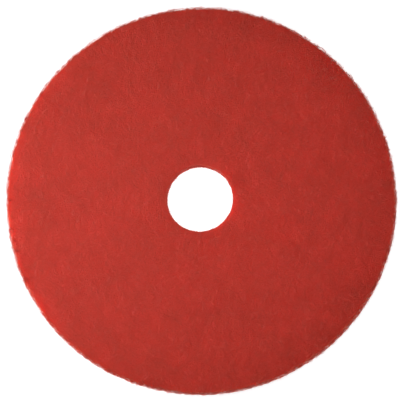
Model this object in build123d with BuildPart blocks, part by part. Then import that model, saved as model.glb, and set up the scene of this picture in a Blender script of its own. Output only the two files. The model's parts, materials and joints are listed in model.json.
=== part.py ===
"""Floor pad: the round nonwoven disc that a rotary floor machine drives.

The pad is one crimped-fibre web, bonded with resin and die-cut. The resin goes on from both sides,
so the web has a firm, resin-rich layer on each face and a loftier core between them.
Millimetres. +Z is up, and the origin is the centre of the face that lies on the floor.
"""

import os

from build123d import *

# Driving dimensions
OUTER_DIAMETER = 508.0  # a 20 inch pad
THICKNESS = 25.4  # 1 inch
HOLE_DIAMETER = 87.0  # the centre hole, for the pad holder's hub and lock ring
FACE_LAYER = 3.0  # how deep the resin-rich layer goes on each side
RIM_ROUND = 2.0  # the die presses the web's outer edges down before it cuts them
WAIST = 1.2  # the squeezed core springs back from the die, so the cut rim is hollow

# Worked out from them
OUTER_RADIUS = OUTER_DIAMETER / 2
HOLE_RADIUS = HOLE_DIAMETER / 2
CORE_BOTTOM = FACE_LAYER
CORE_TOP = THICKNESS - FACE_LAYER
MID_HEIGHT = THICKNESS / 2
WAIST_RADIUS = OUTER_RADIUS - WAIST

# The layer that lies on the floor: a flat ring with its outer lower edge pressed round.
with BuildPart() as lower_face_layer:
    with BuildSketch(Plane.XY):
        Circle(OUTER_RADIUS)
        Circle(HOLE_RADIUS, mode=Mode.SUBTRACT)
    extrude(amount=FACE_LAYER)
    floor_edges = lower_face_layer.edges().filter_by(GeomType.CIRCLE).group_by(Axis.Z)[0]
    fillet(floor_edges.sort_by(SortBy.RADIUS)[-1], radius=RIM_ROUND)
lower_face_layer.part.label = "lower_face_layer"

# The lofty core: a section with a straight bore and a hollow rim, turned about the pad's axis.
with BuildPart() as core_layer:
    with BuildSketch(Plane.XZ):
        with BuildLine():
            rim = ThreePointArc(
                (OUTER_RADIUS, CORE_BOTTOM), (WAIST_RADIUS, MID_HEIGHT), (OUTER_RADIUS, CORE_TOP)
            )
            Polyline(rim @ 1, (HOLE_RADIUS, CORE_TOP), (HOLE_RADIUS, CORE_BOTTOM), rim @ 0)
        make_face()
    revolve(axis=Axis.Z)
core_layer.part.label = "core_layer"

# The layer that faces the machine: the same as the lower one, turned over, so the pad is reversible.
with BuildPart() as upper_face_layer:
    mirror(lower_face_layer.part, about=Plane.XY.offset(MID_HEIGHT))
upper_face_layer.part.label = "upper_face_layer"

os.makedirs("parts", exist_ok=True)
for layer in (lower_face_layer, core_layer, upper_face_layer):
    export_step(layer.part, f"parts/{layer.part.label}.step")
    print(layer.part.label, "volume", round(layer.part.volume), "mm3")
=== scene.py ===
import json
import math

import bpy
from mathutils import Matrix, Vector


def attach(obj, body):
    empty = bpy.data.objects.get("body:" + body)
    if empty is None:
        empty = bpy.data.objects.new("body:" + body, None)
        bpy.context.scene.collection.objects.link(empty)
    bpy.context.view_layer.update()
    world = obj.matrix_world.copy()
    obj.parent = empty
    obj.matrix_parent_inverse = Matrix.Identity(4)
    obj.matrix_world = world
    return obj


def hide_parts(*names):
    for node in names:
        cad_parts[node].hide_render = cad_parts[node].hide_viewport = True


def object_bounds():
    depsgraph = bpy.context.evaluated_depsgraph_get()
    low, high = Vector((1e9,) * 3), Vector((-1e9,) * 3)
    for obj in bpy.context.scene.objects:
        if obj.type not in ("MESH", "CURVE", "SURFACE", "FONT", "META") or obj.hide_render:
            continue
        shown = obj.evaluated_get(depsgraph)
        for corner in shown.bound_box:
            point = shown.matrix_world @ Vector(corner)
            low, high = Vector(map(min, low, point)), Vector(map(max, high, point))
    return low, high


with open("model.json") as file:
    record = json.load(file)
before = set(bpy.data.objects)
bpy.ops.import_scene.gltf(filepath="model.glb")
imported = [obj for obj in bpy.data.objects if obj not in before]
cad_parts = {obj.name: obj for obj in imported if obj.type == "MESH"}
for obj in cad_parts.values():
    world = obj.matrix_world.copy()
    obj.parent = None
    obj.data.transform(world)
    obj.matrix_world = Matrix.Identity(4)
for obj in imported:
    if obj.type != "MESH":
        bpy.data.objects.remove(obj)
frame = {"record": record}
cad_low, cad_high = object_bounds()


# Camera: high over the pad and a little to its front right, far enough back that the ring stays
# almost a true circle. The view's upright is the pad's +Y.
pad_radius = cad_high.x
pad_thickness = cad_high.z
camera_distance = 2.40
camera_tilt = math.radians(8)
camera_swing = math.radians(-66)
camera_aim = Vector((0.0007, -0.0024, pad_thickness))
camera_lens = 165.6
film_width = 36
farthest_seen = 50.0
lean = Vector((math.cos(camera_swing), math.sin(camera_swing), 0)) * math.sin(camera_tilt)
rise = Vector((0, 0, math.cos(camera_tilt)))
camera_place = Vector((0, 0, pad_thickness)) + (lean + rise) * camera_distance
sight = (camera_aim - camera_place).normalized()
sideways = sight.cross(Vector((0, 1, 0))).normalized()
turned = Matrix((sideways, sideways.cross(sight), -sight)).transposed().to_4x4()

camera = bpy.data.objects.new("camera", bpy.data.cameras.new("camera"))
camera.data.sensor_width = film_width
camera.data.lens = camera_lens
camera.data.clip_end = farthest_seen
camera.matrix_world = Matrix.Translation(camera_place) @ turned
bpy.context.collection.objects.link(camera)
bpy.context.scene.camera = camera


# Floor: a wide matt white table, lit from inside like a light box, so that it stays white right up
# to the pad's rim.
floor_half = 30.0
floor_white = 0.35
floor_glow = 0.93
floor_roughness = 0.9
floor_gloss = 0.1
floor_corners = [(-1, -1), (1, -1), (1, 1), (-1, 1)]
floor_mesh = bpy.data.meshes.new("floor")
floor_points = [(x * floor_half, y * floor_half, 0) for x, y in floor_corners]
floor_mesh.from_pydata(floor_points, [], [(0, 1, 2, 3)])
floor = bpy.data.objects.new("floor", floor_mesh)
bpy.context.collection.objects.link(floor)
floor_paint = bpy.data.materials.new("floor_paint")
floor_paint.use_nodes = True
skin = floor_paint.node_tree.nodes["Principled BSDF"].inputs
skin["Base Color"].default_value = (floor_white, floor_white, floor_white, 1)
skin["Roughness"].default_value = floor_roughness
skin["Specular IOR Level"].default_value = floor_gloss
skin["Emission Color"].default_value = (1, 1, 1, 1)
skin["Emission Strength"].default_value = floor_glow
floor_mesh.materials.append(floor_paint)


# Light: a dim tent all round, which still looks as white as the table; a soft lamp low on the left,
# which rakes the face and makes the cut walls that face it glow; and a soft lamp overhead, left of
# the middle, so that the face darkens towards its right, top and bottom.
tent_strength = 0.273
tent_white = 1.0
lamps = {
    "left_lamp": {"place": Vector((-1.30, 0.0, 0.42)), "size": (0.45, 0.45), "watts": 17.8},
    "top_lamp": {"place": Vector((-0.14, 0.0, 0.50)), "size": (0.80, 0.20), "watts": 1.58},
}


def put(tree, kind, inputs=None, **settings):
    """Adds a node. An input that is another node's socket is wired, and any other value is set."""
    made = tree.nodes.new(kind)
    for name, value in settings.items():
        setattr(made, name, value)
    for key, value in (inputs or {}).items():
        if isinstance(value, bpy.types.NodeSocket):
            tree.links.new(value, made.inputs[key])
        else:
            made.inputs[key].default_value = value
    return made


def maths(tree, operation, *values):
    return put(tree, "ShaderNodeMath", dict(enumerate(values)), operation=operation).outputs[0]


tent = bpy.data.worlds.new("tent")
tent.use_nodes = True
cloth = tent.node_tree.nodes["Background"].inputs
seen = put(tent.node_tree, "ShaderNodeLightPath").outputs["Is Camera Ray"]
glow = put(tent.node_tree, "ShaderNodeMapRange", {
    "Value": seen, "To Min": tent_strength, "To Max": tent_white,
}).outputs[0]
tent.node_tree.links.new(glow, cloth["Strength"])
cloth["Color"].default_value = (1, 1, 1, 1)
bpy.context.scene.world = tent
bpy.context.scene.view_settings.view_transform = "Standard"
for name, sizes in lamps.items():
    lamp = bpy.data.objects.new(name, bpy.data.lights.new(name, "AREA"))
    lamp.data.shape = "RECTANGLE"
    lamp.data.size, lamp.data.size_y = sizes["size"]
    lamp.data.energy = sizes["watts"]
    lamp.location = sizes["place"]
    if name == "left_lamp":
        lamp.rotation_mode = "QUATERNION"
        lamp.rotation_quaternion = (-sizes["place"]).to_track_quat("-Z", "X")
    lamp.visible_camera = False
    bpy.context.collection.objects.link(lamp)


# Web: the pad's body, one felt of crimped nylon fibres bonded with red resin and cut out by a die.
# It is turned from its section. The die presses the face down near both edges and leaves the cut
# rim hollow, and the relief tree adds the web's swerves, lumps and tufts.
hub_hole = next(mount for mount in frame["record"]["mounts"] if mount["name"] == "centre_hole")
hole_radius = hub_hole["dims"]["r_mm"] / 1000
skin_depth = 0.0007  # the web's faces lie this far under their outermost strands,
rim_depth = 0.0012  # its rim this far inside the cut,
hole_depth = 0.0005  # and the hole's wall this far outside it
web_rim = pad_radius - rim_depth
web_hole = hole_radius + hole_depth
turn_steps = 960
ring_step = 0.0040
wall_step = 0.0015
corner_steps = 4
rim_round, hole_round = 0.0020, 0.0010
rim_hollow = 0.0012
rim_droop, rim_droop_width = 0.0022, 0.034
hole_droop, hole_droop_width = 0.0008, 0.016
calm_reach, rough_reach = hole_radius * 1.1, hole_radius * 1.4  # least relief up to here, full from here
wall_slope, face_slope = 0.2, 0.9  # how upright a normal is where the wall ends and the face begins
layer_stretch = (1, 1, 2.2)  # the web is laid in thin layers


def corner(middle, size, quarter):
    """A quarter circle of section points about its middle, from that quarter turn to the next."""
    turns = [(quarter + step / corner_steps) * math.pi / 2 for step in range(corner_steps + 1)]
    return [(middle[0] + size * math.cos(turn), middle[1] + size * math.sin(turn)) for turn in turns]


def run(start, end, step):
    """Points from one end towards the other, without the two ends themselves."""
    count = max(1, round(math.dist(start, end) / step))
    return [tuple(a + (b - a) * share / count for a, b in zip(start, end)) for share in range(1, count)]


def pressed(reach, height):
    """Where the die leaves a section point: lower near the edges, and set back halfway up the rim."""
    middle = pad_thickness / 2
    from_rim = max(0.0, 1 - (web_rim - reach) / rim_droop_width)
    from_hole = max(0.0, 1 - (reach - web_hole) / hole_droop_width)
    droop = rim_droop * from_rim ** 2 + hole_droop * from_hole ** 2
    above = (height - middle) / middle
    on_wall = max(0.0, 1 - (web_rim - reach) / rim_round)
    return reach - rim_hollow * on_wall * (1 - above ** 2), height - droop * above


low, high = skin_depth, pad_thickness - skin_depth
corners = [
    corner((web_rim - rim_round, low + rim_round), rim_round, -1),
    corner((web_rim - rim_round, high - rim_round), rim_round, 0),
    corner((web_hole + hole_round, high - hole_round), hole_round, 1),
    corner((web_hole + hole_round, low + hole_round), hole_round, 2),
]
section = []
for number, bend in enumerate(corners):
    following = corners[(number + 1) % len(corners)][0]
    section += bend + run(bend[-1], following, ring_step if number % 2 else wall_step)
section = [pressed(*point) for point in section]

points, quads = [], []
whole_count = turn_steps * len(section)
for turn in range(turn_steps):
    angle = turn / turn_steps * math.tau
    for place, (reach, height) in enumerate(section):
        points.append((reach * math.cos(angle), reach * math.sin(angle), height))
        here = turn * len(section) + place
        above = turn * len(section) + (place + 1) % len(section)
        beyond = (here + len(section)) % whole_count
        beyond_above = (above + len(section)) % whole_count
        quads.append((here, beyond, beyond_above, above))
web_mesh = bpy.data.meshes.new("bonded_web")
web_mesh.from_pydata(points, [], quads)
web_mesh.shade_smooth()
web = bpy.data.objects.new("bonded_web", web_mesh)
bpy.context.collection.objects.link(web)


def vectors(tree, operation, first, second):
    key = "Scale" if operation == "SCALE" else 1
    made = put(tree, "ShaderNodeVectorMath", {0: first, key: second}, operation=operation)
    return made.outputs["Value" if operation == "DOT_PRODUCT" else "Vector"]


def new_tree(name, sockets):
    """A Geometry Nodes tree with these named inputs, its inputs' sockets and its output node."""
    tree = bpy.data.node_groups.new(name, "GeometryNodeTree")
    tree.is_modifier = True
    tree.interface.new_socket("Geometry", in_out="INPUT", socket_type="NodeSocketGeometry")
    for socket, kind in sockets.items():
        tree.interface.new_socket(socket, in_out="INPUT", socket_type="NodeSocket" + kind)
    tree.interface.new_socket("Geometry", in_out="OUTPUT", socket_type="NodeSocketGeometry")
    return tree, put(tree, "NodeGroupInput").outputs, put(tree, "NodeGroupOutput")


def settle(piece, tree, values):
    """Runs the tree on the piece with these values, and keeps what it makes as a plain mesh."""
    modifier = piece.modifiers.new(tree.name, "NODES")
    modifier.node_group = tree
    for socket in tree.interface.items_tree:
        if socket.in_out == "INPUT" and socket.name in values:
            modifier[socket.identifier] = values[socket.name]
    graph = bpy.context.evaluated_depsgraph_get()
    made = bpy.data.meshes.new_from_object(piece.evaluated_get(graph), depsgraph=graph)
    piece.modifiers.remove(modifier)
    drawn = piece.data
    piece.data = made
    bpy.data.meshes.remove(drawn)
    made.name = piece.name


relief, given, end = new_tree("web_relief", {
    "Face height": "Float", "Wall height": "Float", "Hole share": "Float", "Swerve": "Float",
    "Swerve size": "Float", "Lump size": "Float", "Tuft size": "Float",
    "Lowest": "Float", "Highest": "Float", "Material": "Material",
})
spot = put(relief, "GeometryNodeInputPosition").outputs[0]
facing = put(relief, "GeometryNodeInputNormal").outputs[0]
level = maths(relief, "ABSOLUTE", put(relief, "ShaderNodeSeparateXYZ", {0: facing}).outputs["Z"])
height = put(relief, "ShaderNodeMapRange", {
    "Value": level, "From Min": wall_slope, "From Max": face_slope,
    "To Min": given["Wall height"], "To Max": given["Face height"],
}).outputs[0]
layered = vectors(relief, "MULTIPLY", spot, layer_stretch)
swell = None
for size, detail in (("Lump size", 2), ("Tuft size", 3)):
    scale = maths(relief, "DIVIDE", 1, given[size])
    noise = put(relief, "ShaderNodeTexNoise", {"Vector": layered, "Scale": scale, "Detail": detail})
    noise = maths(relief, "SUBTRACT", noise.outputs[0], 0.5)
    swell = noise if swell is None else maths(relief, "ADD", swell, noise)
scale = maths(relief, "DIVIDE", 1, given["Swerve size"])
slow = put(relief, "ShaderNodeTexNoise", {"Vector": spot, "Scale": scale, "Detail": 1}).outputs[0]
off_wall = maths(relief, "SUBTRACT", 1, level)
slow = maths(relief, "MULTIPLY", maths(relief, "SUBTRACT", slow, 0.5), off_wall)
outward = maths(relief, "ADD", maths(relief, "MULTIPLY", swell, height),
                maths(relief, "MULTIPLY", slow, given["Swerve"]))
flat_spot = vectors(relief, "MULTIPLY", spot, (1, 1, 0))
reach = put(relief, "ShaderNodeVectorMath", {0: flat_spot}, operation="LENGTH").outputs["Value"]
share = put(relief, "ShaderNodeMapRange", {
    "Value": reach, "From Min": calm_reach, "From Max": rough_reach, "To Min": given["Hole share"],
}).outputs[0]
outward = maths(relief, "MULTIPLY", outward, share)
moved = put(relief, "GeometryNodeSetPosition", {
    "Geometry": given["Geometry"], "Offset": vectors(relief, "SCALE", facing, outward),
}).outputs[0]


def hold_between(tree, shape, low, high):
    """Keeps every point of a shape between two heights."""
    at = put(tree, "ShaderNodeSeparateXYZ", {0: put(tree, "GeometryNodeInputPosition").outputs[0]}).outputs
    held = maths(tree, "MINIMUM", maths(tree, "MAXIMUM", at["Z"], low), high)
    place = put(tree, "ShaderNodeCombineXYZ", {"X": at["X"], "Y": at["Y"], "Z": held}).outputs[0]
    return put(tree, "GeometryNodeSetPosition", {"Geometry": shape, "Position": place}).outputs[0]


def close_tree(tree, shape, material, end):
    """Ends a tree: everything is made real and takes its material."""
    whole = put(tree, "GeometryNodeRealizeInstances", {0: shape}).outputs[0]
    painted = put(tree, "GeometryNodeSetMaterial", {"Geometry": whole, "Material": material}).outputs[0]
    tree.links.new(painted, end.inputs[0])


close_tree(relief, hold_between(relief, moved, given["Lowest"], given["Highest"]), given["Material"], end)


def ramp(tree, value, *stops):
    """A colour for each value, from these (value, colour) stops."""
    made = put(tree, "ShaderNodeValToRGB", {0: value})
    for element, (position, colour) in zip(made.color_ramp.elements, stops):
        element.position = position
        element.color = (*colour, 1)
    return made.outputs[0]


# The web's finish: strands under strands. Cell edges, bent by noise, draw the deeper strands lighter
# than the gaps between them; the gaps' darker red is painted shade in the web's hollows. Light runs a few
# centimetres through the web, red first.
gap_shade_red = (0.625, 0.0410, 0.0245)
deep_strand_red = (0.700, 0.0570, 0.0340)
cloud_scale = 30.0
cell_scales = (330.0, 610.0)
cell_line, cell_gap = 0.02, 0.16  # a cell's edge is a strand up to the first, and a gap from the second
cell_bend, bend_scale = 0.004, 260.0
cloud_share, strand_share = 0.22, 0.45
strand_depth = 0.0008
web_gloss = 0.3
web_glow_reach = 0.055
web_glow_colours = (1.0, 0.10, 0.06)


def new_finish(name):
    """A material, its tree, its shader's inputs, where each point lies, and its slow clouds of tone."""
    finish = bpy.data.materials.new(name)
    finish.use_nodes = True
    paint = finish.node_tree
    where = put(paint, "ShaderNodeTexCoord").outputs["Object"]
    clouds = put(paint, "ShaderNodeTexNoise", {"Vector": where, "Scale": cloud_scale, "Detail": 3})
    return finish, paint, paint.nodes["Principled BSDF"].inputs, where, clouds.outputs[0]


web_red, paint, skin, where, clouds = new_finish("web_red")
bend = put(paint, "ShaderNodeTexNoise", {"Vector": where, "Scale": bend_scale, "Detail": 2}).outputs["Color"]
bent = vectors(paint, "ADD", where, vectors(paint, "SCALE", bend, cell_bend))
strands = None
for scale in cell_scales:
    cells = put(paint, "ShaderNodeTexVoronoi", {"Vector": bent, "Scale": scale}, feature="DISTANCE_TO_EDGE")
    edge = put(paint, "ShaderNodeMapRange", {
        "Value": cells.outputs["Distance"], "From Min": cell_line, "From Max": cell_gap,
        "To Min": 1, "To Max": 0,
    }).outputs[0]
    strands = edge if strands is None else maths(paint, "MAXIMUM", strands, edge)
tone = maths(paint, "ADD", maths(paint, "MULTIPLY", clouds, cloud_share),
             maths(paint, "MULTIPLY", strands, strand_share))
paint.links.new(ramp(paint, tone, (0.1, gap_shade_red), (0.7, deep_strand_red)), skin["Base Color"])
dull = put(paint, "ShaderNodeMapRange", {"Value": strands, "To Min": 0.85, "To Max": 0.55}).outputs[0]
paint.links.new(dull, skin["Roughness"])
bump = put(paint, "ShaderNodeBump", {
    "Strength": 1.0, "Distance": strand_depth, "Height": strands,
}).outputs[0]
paint.links.new(bump, skin["Normal"])
skin["Specular IOR Level"].default_value = web_gloss
skin["Subsurface Weight"].default_value = 1.0
skin["Subsurface Radius"].default_value = web_glow_colours
skin["Subsurface Scale"].default_value = web_glow_reach

skin_slack = 0.0002  # how near the CAD faces the web's highest tufts may come
settle(web, relief, {
    "Face height": 0.0002, "Wall height": 0.0030, "Hole share": 0.15, "Swerve": 0.0050, "Swerve size": 0.17,
    "Lump size": 0.011, "Tuft size": 0.0040, "Lowest": skin_slack, "Highest": pad_thickness - skin_slack,
    "Material": web_red,
})
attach(web, "root")
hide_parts("core_layer")


# Face strands: the outermost fibres of each face, crimped nylon that crosses itself in every
# direction, a little more along the web than across it. The tree lays each strand on the web's own
# skin, leans and bows it, lets it wander, and cuts it where the die cut.
lay, given, end = new_tree("lay_strands", {
    "Per square metre": "Float", "Least slope": "Float", "Most slope": "Float",
    "Nearest": "Float", "Farthest": "Float", "Bunch size": "Float", "Bunch least": "Float",
    "Points": "Int", "Length": "Float", "Thickness": "Float",
    "Along": "Vector", "Turn": "Float", "Turn spread": "Float", "Lean": "Float", "Bow": "Float",
    "Sink": "Float", "Depth": "Float", "Wander": "Float", "Lift": "Float", "Crimp": "Float",
    "Tuft height": "Float", "Tuft size": "Float",
    "Cut inside": "Float", "Cut outside": "Float", "Cut wobble": "Float",
    "Lowest": "Float", "Highest": "Float", "Seed": "Int", "Material": "Material",
})


def chance(low, high, draw):
    """A random number for each point. Each draw of the tree's seed is a different one."""
    made = put(lay, "FunctionNodeRandomValue", {2: low, 3: high}, data_type="FLOAT")
    lay.links.new(maths(lay, "ADD", given["Seed"], draw), made.inputs["Seed"])
    return made.outputs[1]


def inside(value, low, high):
    """1 where the value is between the two, and 0 elsewhere."""
    above = maths(lay, "GREATER_THAN", value, low)
    return maths(lay, "MULTIPLY", above, maths(lay, "LESS_THAN", value, high))


def from_axis():
    """How far each point is from the pad's axis."""
    spot = put(lay, "GeometryNodeInputPosition").outputs[0]
    level = vectors(lay, "MULTIPLY", spot, (1, 1, 0))
    return put(lay, "ShaderNodeVectorMath", {0: level}, operation="LENGTH").outputs["Value"]


def keep(shape, name, value, kind):
    """Stores a value on each point, so that the strand that grows there has it too."""
    return put(lay, "GeometryNodeStoreNamedAttribute", {"Geometry": shape, "Name": name, "Value": value},
               data_type=kind, domain="POINT").outputs[0]


def kept(name):
    return put(lay, "GeometryNodeInputNamedAttribute", {"Name": name}, data_type="FLOAT_VECTOR").outputs[0]


def tufts(size):
    """From -0.5 to 0.5, the same for every strand that passes: where the web bunches into tufts."""
    spot = put(lay, "GeometryNodeInputPosition").outputs[0]
    noise = put(lay, "ShaderNodeTexNoise", {
        "Vector": spot, "Scale": maths(lay, "DIVIDE", 1, size), "Detail": 3, "Roughness": 0.65,
    }).outputs[0]
    return maths(lay, "SUBTRACT", noise, 0.5)


slope = put(lay, "ShaderNodeSeparateXYZ", {0: put(lay, "GeometryNodeInputNormal").outputs[0]}).outputs["Z"]
chosen = maths(lay, "MULTIPLY", inside(slope, given["Least slope"], given["Most slope"]),
               inside(from_axis(), given["Nearest"], given["Farthest"]))
bunched = maths(lay, "GREATER_THAN", tufts(given["Bunch size"]), given["Bunch least"])
chosen = maths(lay, "MULTIPLY", chosen, bunched)
roots = put(lay, "GeometryNodeDistributePointsOnFaces", {
    "Mesh": given["Geometry"], "Selection": chosen,
    "Density": given["Per square metre"], "Seed": given["Seed"],
}).outputs
far_apart = 9.0  # every strand reads its noise somewhere else in this range
shortest, longest = 0.65, 1.35  # against the strand's usual length
hole_wobble = 0.3  # the cut around the hole is neater than the cut around the rim
tube_sides = 3
own_noise = put(lay, "ShaderNodeCombineXYZ", {
    axis: chance(-far_apart, far_apart, axis + 1) for axis in range(3)
}).outputs[0]
marked = keep(roots["Points"], "stand", roots["Normal"], "FLOAT_VECTOR")
marked = keep(marked, "own", own_noise, "FLOAT_VECTOR")
marked = keep(marked, "tint", chance(0.0, 1.0, 4), "FLOAT")
marked = keep(marked, "out", chance(0.0, 1.0, 8), "FLOAT")

way = put(lay, "FunctionNodeAlignRotationToVector", {
    "Rotation": roots["Rotation"], "Vector": given["Along"],
}, axis="Y", pivot_axis="Z").outputs[0]
turn = maths(lay, "MULTIPLY", given["Turn spread"], chance(-1.0, 1.0, 5))
turn = maths(lay, "ADD", given["Turn"], turn)
for axis, angle in (
    ((0, 0, 1), turn),
    ((1, 0, 0), maths(lay, "MULTIPLY", given["Lean"], chance(-1.0, 1.0, 6))),
):
    twist = put(lay, "FunctionNodeAxisAngleToRotation", {"Axis": axis, "Angle": angle}).outputs[0]
    way = put(lay, "FunctionNodeRotateRotation", {"Rotation": way, "Rotate By": twist},
              rotation_space="LOCAL").outputs[0]
line = put(lay, "GeometryNodeCurvePrimitiveLine", {"Start": (0, -0.5, 0), "End": (0, 0.5, 0)}).outputs[0]
line = put(lay, "GeometryNodeResampleCurve", {"Curve": line, "Count": given["Points"]}).outputs[0]
length = maths(lay, "MULTIPLY", given["Length"], chance(shortest, longest, 7))
placed = put(lay, "GeometryNodeInstanceOnPoints", {
    "Points": marked, "Instance": line, "Rotation": way, "Scale": vectors(lay, "SCALE", (1, 1, 1), length),
}).outputs[0]
loose = put(lay, "GeometryNodeRealizeInstances", {0: placed}).outputs[0]

along = put(lay, "GeometryNodeSplineParameter").outputs["Factor"]
arch = maths(lay, "MULTIPLY", maths(lay, "MULTIPLY", along, maths(lay, "SUBTRACT", 1, along)), 4)
spot = vectors(lay, "ADD", put(lay, "GeometryNodeInputPosition").outputs[0], kept("own"))
wave = put(lay, "ShaderNodeTexNoise", {
    "Vector": spot, "Scale": maths(lay, "DIVIDE", 1, given["Crimp"]), "Detail": 1,
})
drift = vectors(lay, "SUBTRACT", wave.outputs["Color"], (0.5, 0.5, 0.5))
drift = vectors(lay, "SCALE", drift, given["Wander"])
off_skin = vectors(lay, "DOT_PRODUCT", drift, kept("stand"))
drift = vectors(lay, "SUBTRACT", drift, vectors(lay, "SCALE", kept("stand"), off_skin))
rise = maths(lay, "SUBTRACT", maths(lay, "MULTIPLY", arch, given["Bow"]), given["Sink"])
rise = maths(lay, "ADD", rise, maths(lay, "MULTIPLY", off_skin, given["Lift"]))
out = put(lay, "GeometryNodeInputNamedAttribute", {"Name": "out"}, data_type="FLOAT").outputs[0]
rise = maths(lay, "ADD", rise, maths(lay, "MULTIPLY", out, given["Depth"]))
rise = maths(lay, "ADD", rise, maths(lay, "MULTIPLY", tufts(given["Tuft size"]), given["Tuft height"]))
offset = vectors(lay, "ADD", drift, vectors(lay, "SCALE", kept("stand"), rise))
bent = put(lay, "GeometryNodeSetPosition", {"Geometry": loose, "Offset": offset}).outputs[0]
bent = hold_between(lay, bent, given["Lowest"], given["Highest"])
wobble = maths(lay, "MULTIPLY", tufts(given["Tuft size"]), given["Cut wobble"])
cut_off = maths(lay, "SUBTRACT", 1, inside(
    from_axis(), maths(lay, "SUBTRACT", given["Cut inside"], maths(lay, "MULTIPLY", wobble, hole_wobble)),
    maths(lay, "ADD", given["Cut outside"], wobble),
))
stub = maths(lay, "LESS_THAN", put(lay, "GeometryNodeSplineLength").outputs["Point Count"], 3)
for gone, domain in ((cut_off, "POINT"), (stub, "CURVE")):
    bent = put(lay, "GeometryNodeDeleteGeometry", {
        "Geometry": bent, "Selection": gone,
    }, domain=domain).outputs[0]
radius = maths(lay, "MULTIPLY", given["Thickness"], 0.5)
ring = put(lay, "GeometryNodeCurvePrimitiveCircle", {"Resolution": tube_sides, "Radius": radius}).outputs[0]
tubes = put(lay, "GeometryNodeCurveToMesh", {
    "Curve": bent, "Profile Curve": ring, "Fill Caps": True,
}).outputs[0]
for helper in ("stand", "own", "out"):
    tubes = put(lay, "GeometryNodeRemoveAttribute", {"Geometry": tubes, "Name": helper}).outputs[0]
close_tree(lay, tubes, given["Material"], end)

tint_cloud_share, tint_share = 0.25, 0.6
resin_roughness = 0.62
resin_gloss = 0.3
resin_glow_reach = 0.002
resin_glow_colours = (1.0, 0.15, 0.10)


def strand_finish(name, darkest, lightest):
    """Resin-coated nylon: each strand has a tone of its own, over the same slow clouds as the web's."""
    finish, paint, skin, _, clouds = new_finish(name)
    tint = put(paint, "ShaderNodeAttribute", attribute_name="tint", attribute_type="GEOMETRY").outputs["Fac"]
    tone = maths(paint, "ADD", maths(paint, "MULTIPLY", clouds, tint_cloud_share),
                 maths(paint, "MULTIPLY", tint, tint_share))
    paint.links.new(ramp(paint, tone, (0.1, darkest), (0.9, lightest)), skin["Base Color"])
    skin["Roughness"].default_value = resin_roughness
    skin["Specular IOR Level"].default_value = resin_gloss
    skin["Subsurface Weight"].default_value = 0.7
    skin["Subsurface Radius"].default_value = resin_glow_colours
    skin["Subsurface Scale"].default_value = resin_glow_reach
    return finish


strand_red = strand_finish("strand_red", (0.600, 0.0510, 0.0310), (0.660, 0.0630, 0.0385))


def grow(name, count, area, finish, **values):
    """One piece of strands on a copy of the web, about as many as the count says."""
    piece = bpy.data.objects.new(name, web.data.copy())
    bpy.context.collection.objects.link(piece)
    values = {key.replace("_", " ").capitalize(): value for key, value in values.items()}
    settle(piece, lay, {**values, "Per square metre": count / area, "Material": finish})
    piece.data.shade_smooth()
    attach(piece, "root")
    return piece


face_area = math.pi * (pad_radius ** 2 - hole_radius ** 2)
strand_slack = 0.0003  # strands stay this far above the floor, and may stand this far above the pad
face_strand = {
    "nearest": 0.0, "farthest": 1.0, "bunch_size": 1.0, "bunch_least": -1.0,
    "points": 9, "length": 0.024, "thickness": 0.00026,
    "along": (0, 1, 0), "turn": 0.0, "turn_spread": 1.35, "lean": 0.0, "bow": 0.0007, "sink": 0.0004,
    "wander": 0.010, "lift": 0.06, "crimp": 0.012, "tuft_height": 0.0002, "tuft_size": 0.003,
    "cut_inside": hole_radius - 0.0003, "cut_outside": pad_radius + 0.0004, "cut_wobble": 0.013,
    "lowest": strand_slack,
}
upper = {"least_slope": 0.5, "most_slope": 2.0, "highest": pad_thickness + strand_slack}
lower = {"least_slope": -2.0, "most_slope": -0.5, "highest": pad_thickness}
for face, mats, count, first_seed, limits in (
    ("upper", 5, 3700, 100, upper),
    ("lower", 2, 2000, 300, lower),
):
    for number in range(mats):
        mat = grow(f"{face}_face_strands_{number + 1}", count, face_area, strand_red,
                   seed=first_seed + 20 * number, **limits, **face_strand)
        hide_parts(f"{face}_face_layer")
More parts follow.
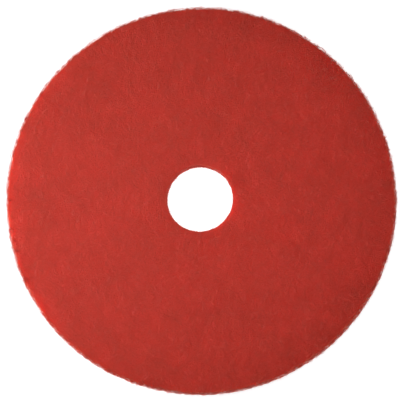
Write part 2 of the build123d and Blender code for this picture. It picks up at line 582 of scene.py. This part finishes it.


# Cut walls: at the rim and in the hole the die has cut through the layers, so short lengths of
# strand lie along the wall, bowed out in loops, with cut ends standing out between them. The rim's
# strands are painted a little darker than the face's, as painted shade on the cut rim.
shaded_rim_red = strand_finish("shaded_rim_red", (0.470, 0.037, 0.0230), (0.590, 0.054, 0.0330))
rim_area = math.tau * pad_radius * pad_thickness
hole_area = math.tau * hole_radius * pad_thickness
edge_area = math.tau * pad_radius * rim_round
wall_strand = {
    "least_slope": -0.9, "most_slope": 0.9, "along": (0, 0, 1), "turn": math.pi / 2,
    "bunch_size": 0.0035, "tuft_size": 0.0035, "crimp": 0.006,
    "cut_inside": 0.0, "cut_outside": 1.0, "cut_wobble": 0.0,
    "lowest": strand_slack, "highest": pad_thickness + strand_slack,
}
loop = {**wall_strand, "bunch_least": -1.0, "turn_spread": 1.0, "lean": 0.0, "points": 7,
        "thickness": 0.00024, "sink": 0.0006, "lift": 0.25}
cut_end = {**wall_strand, "bunch_least": 0.10, "turn_spread": 1.57, "lean": 1.57, "points": 5,
           "thickness": 0.00036, "bow": 0.0, "sink": 0.0004, "lift": 0.3}
at_rim = {"nearest": pad_radius / 2, "farthest": 1.0, "tuft_height": 0.007}
at_hole = {"nearest": 0.0, "farthest": pad_radius / 2, "tuft_height": 0.0005}
walls = [
    grow(f"rim_loops_{number + 1}", 3900, rim_area, shaded_rim_red, length=0.011, bow=0.0010, depth=0.0033,
         wander=0.006, seed=500 + 20 * number, **loop, **at_rim)
    for number in range(2)
]
walls.append(grow("rim_cut_ends", 15000, rim_area, shaded_rim_red, length=0.0056, depth=0.0014, wander=0.003,
                  seed=560, **cut_end, **at_rim))
walls += [
    grow(f"{name}_edge_ends", 9000, edge_area, shaded_rim_red, length=0.0060, depth=0.0014, wander=0.003,
         seed=seed, **{**cut_end, **at_rim, "least_slope": least, "most_slope": most, "thickness": 0.0004})
    for name, least, most, seed in (("upper", 0.2, 0.97, 600), ("lower", -0.97, -0.2, 620))
]
walls += [
    grow("hole_loops", 1300, hole_area, strand_red, length=0.008, bow=0.0006, depth=0.0010, wander=0.004,
         seed=660, **loop, **at_hole),
    grow("hole_cut_ends", 1200, hole_area, strand_red, length=0.003, depth=0.0004, wander=0.002, seed=680,
         **cut_end, **at_hole),
]
